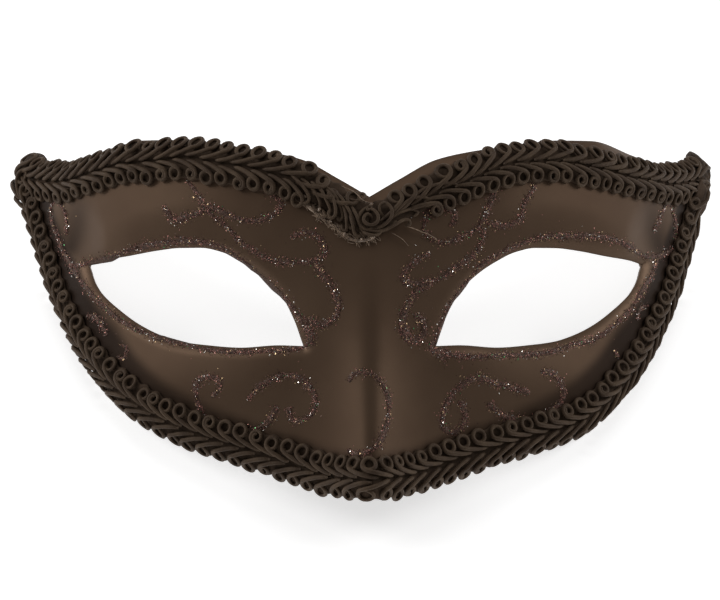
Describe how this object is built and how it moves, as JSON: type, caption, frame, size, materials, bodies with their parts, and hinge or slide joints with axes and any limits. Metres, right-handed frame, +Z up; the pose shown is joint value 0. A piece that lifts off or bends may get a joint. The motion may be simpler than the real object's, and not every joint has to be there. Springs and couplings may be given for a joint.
{
  "type": "masquerade mask",
  "caption": "Rigid half mask that wraps the eyes and the bridge of the nose, with slanting eye openings, a notched brow and looped braid glued round its rim.",
  "frame": {"origin": "on the surface that the mask lies on, under the middle of its bounding box", "axes": "+X across the mask from tip to tip, +Y from the chin edge towards the brow edge along the surface that it lies on, +Z up. The mask lies face up on its two sides, and its face looks up and towards -Y."},
  "size_m": [0.188, 0.1182, 0.061],
  "materials": {
    "shell": "satin bronze brown",
    "braid": "dark brown twisted cord, with a soft sheen"
  },
  "bodies": {
    "root": {"shell": "shell", "brow_braid_left": "braid", "brow_braid_right": "braid", "chin_braid": "braid"}
  },
  "joints": []
}
